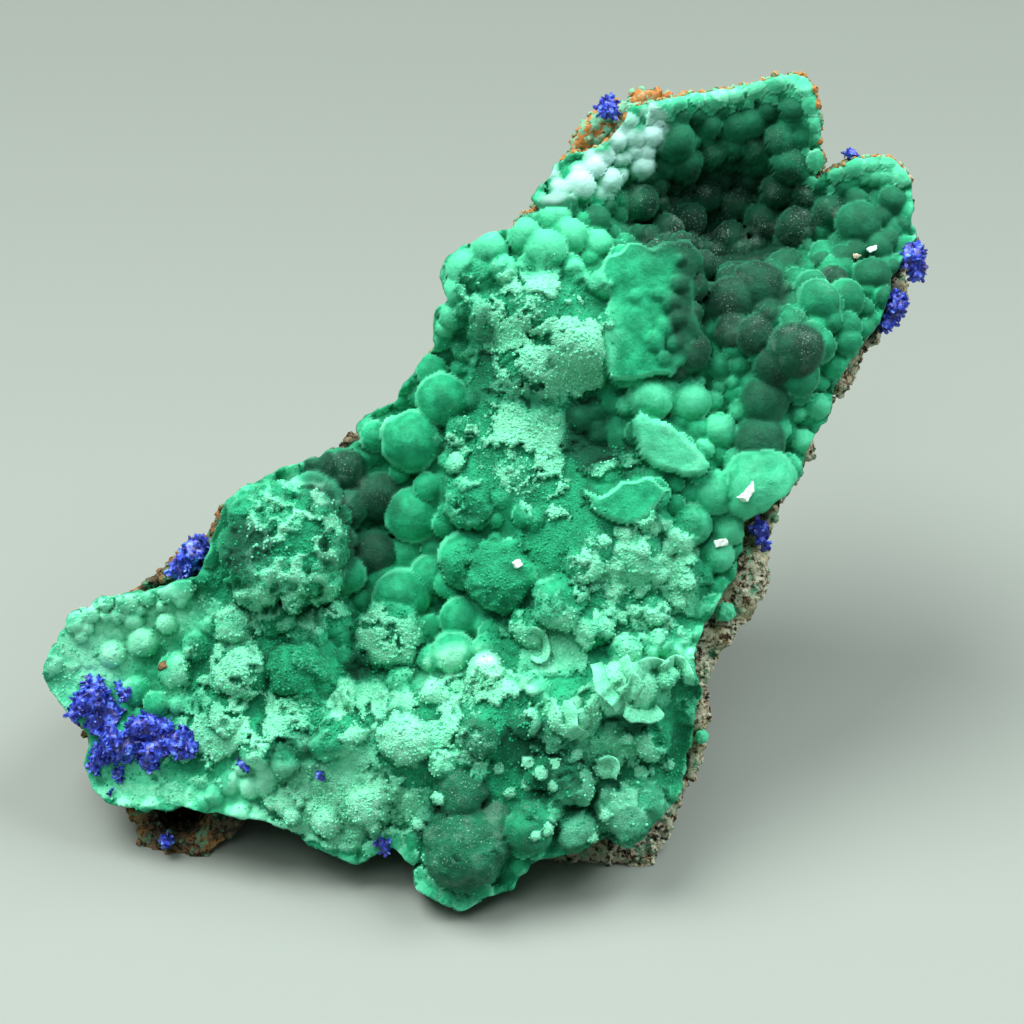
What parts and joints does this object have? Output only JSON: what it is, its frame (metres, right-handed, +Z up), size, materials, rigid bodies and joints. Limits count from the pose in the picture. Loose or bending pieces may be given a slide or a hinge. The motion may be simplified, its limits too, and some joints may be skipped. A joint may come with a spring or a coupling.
{
  "type": "malachite specimen",
  "caption": "Free-standing mineral specimen: a leaning crust of green botryoidal malachite with a deep vug, on brown limonite matrix with blue azurite clusters.",
  "frame": {"origin": "on the table, under the middle of the specimen's box", "axes": "+X to the right along the specimen's longest side, -Y towards the malachite face, +Z up"},
  "size_m": [0.1074, 0.0742, 0.0781],
  "materials": {
    "malachite": "velvety to crusty microcrystalline malachite, emerald green with pale mint crests",
    "limonite": "rough granular limonite, brown to rust with black grains",
    "azurite": "small glassy crystals of deep ultramarine",
    "calcite": "pale translucent crystal chips"
  },
  "bodies": {
    "root": {"limonite_matrix": "limonite", "malachite_crust": "malachite", "azurite_patch": "azurite", "azurite_ledge": "azurite", "azurite_roof_left": "azurite", "azurite_roof_right": "azurite", "azurite_wing": "azurite", "azurite_shoulder": "azurite", "azurite_bank": "azurite", "azurite_leg": "azurite", "azurite_spot_1": "azurite", "azurite_spot_2": "azurite", "azurite_spot_3": "azurite", "azurite_spot_4": "azurite", "malachite_bead_1": "malachite", "malachite_bead_2": "malachite", "limonite_crumb_1": "limonite", "limonite_crumb_2": "limonite", "calcite_chip_1": "calcite", "calcite_chip_2": "calcite", "calcite_chip_3": "calcite", "calcite_chip_4": "calcite"}
  },
  "joints": []
}
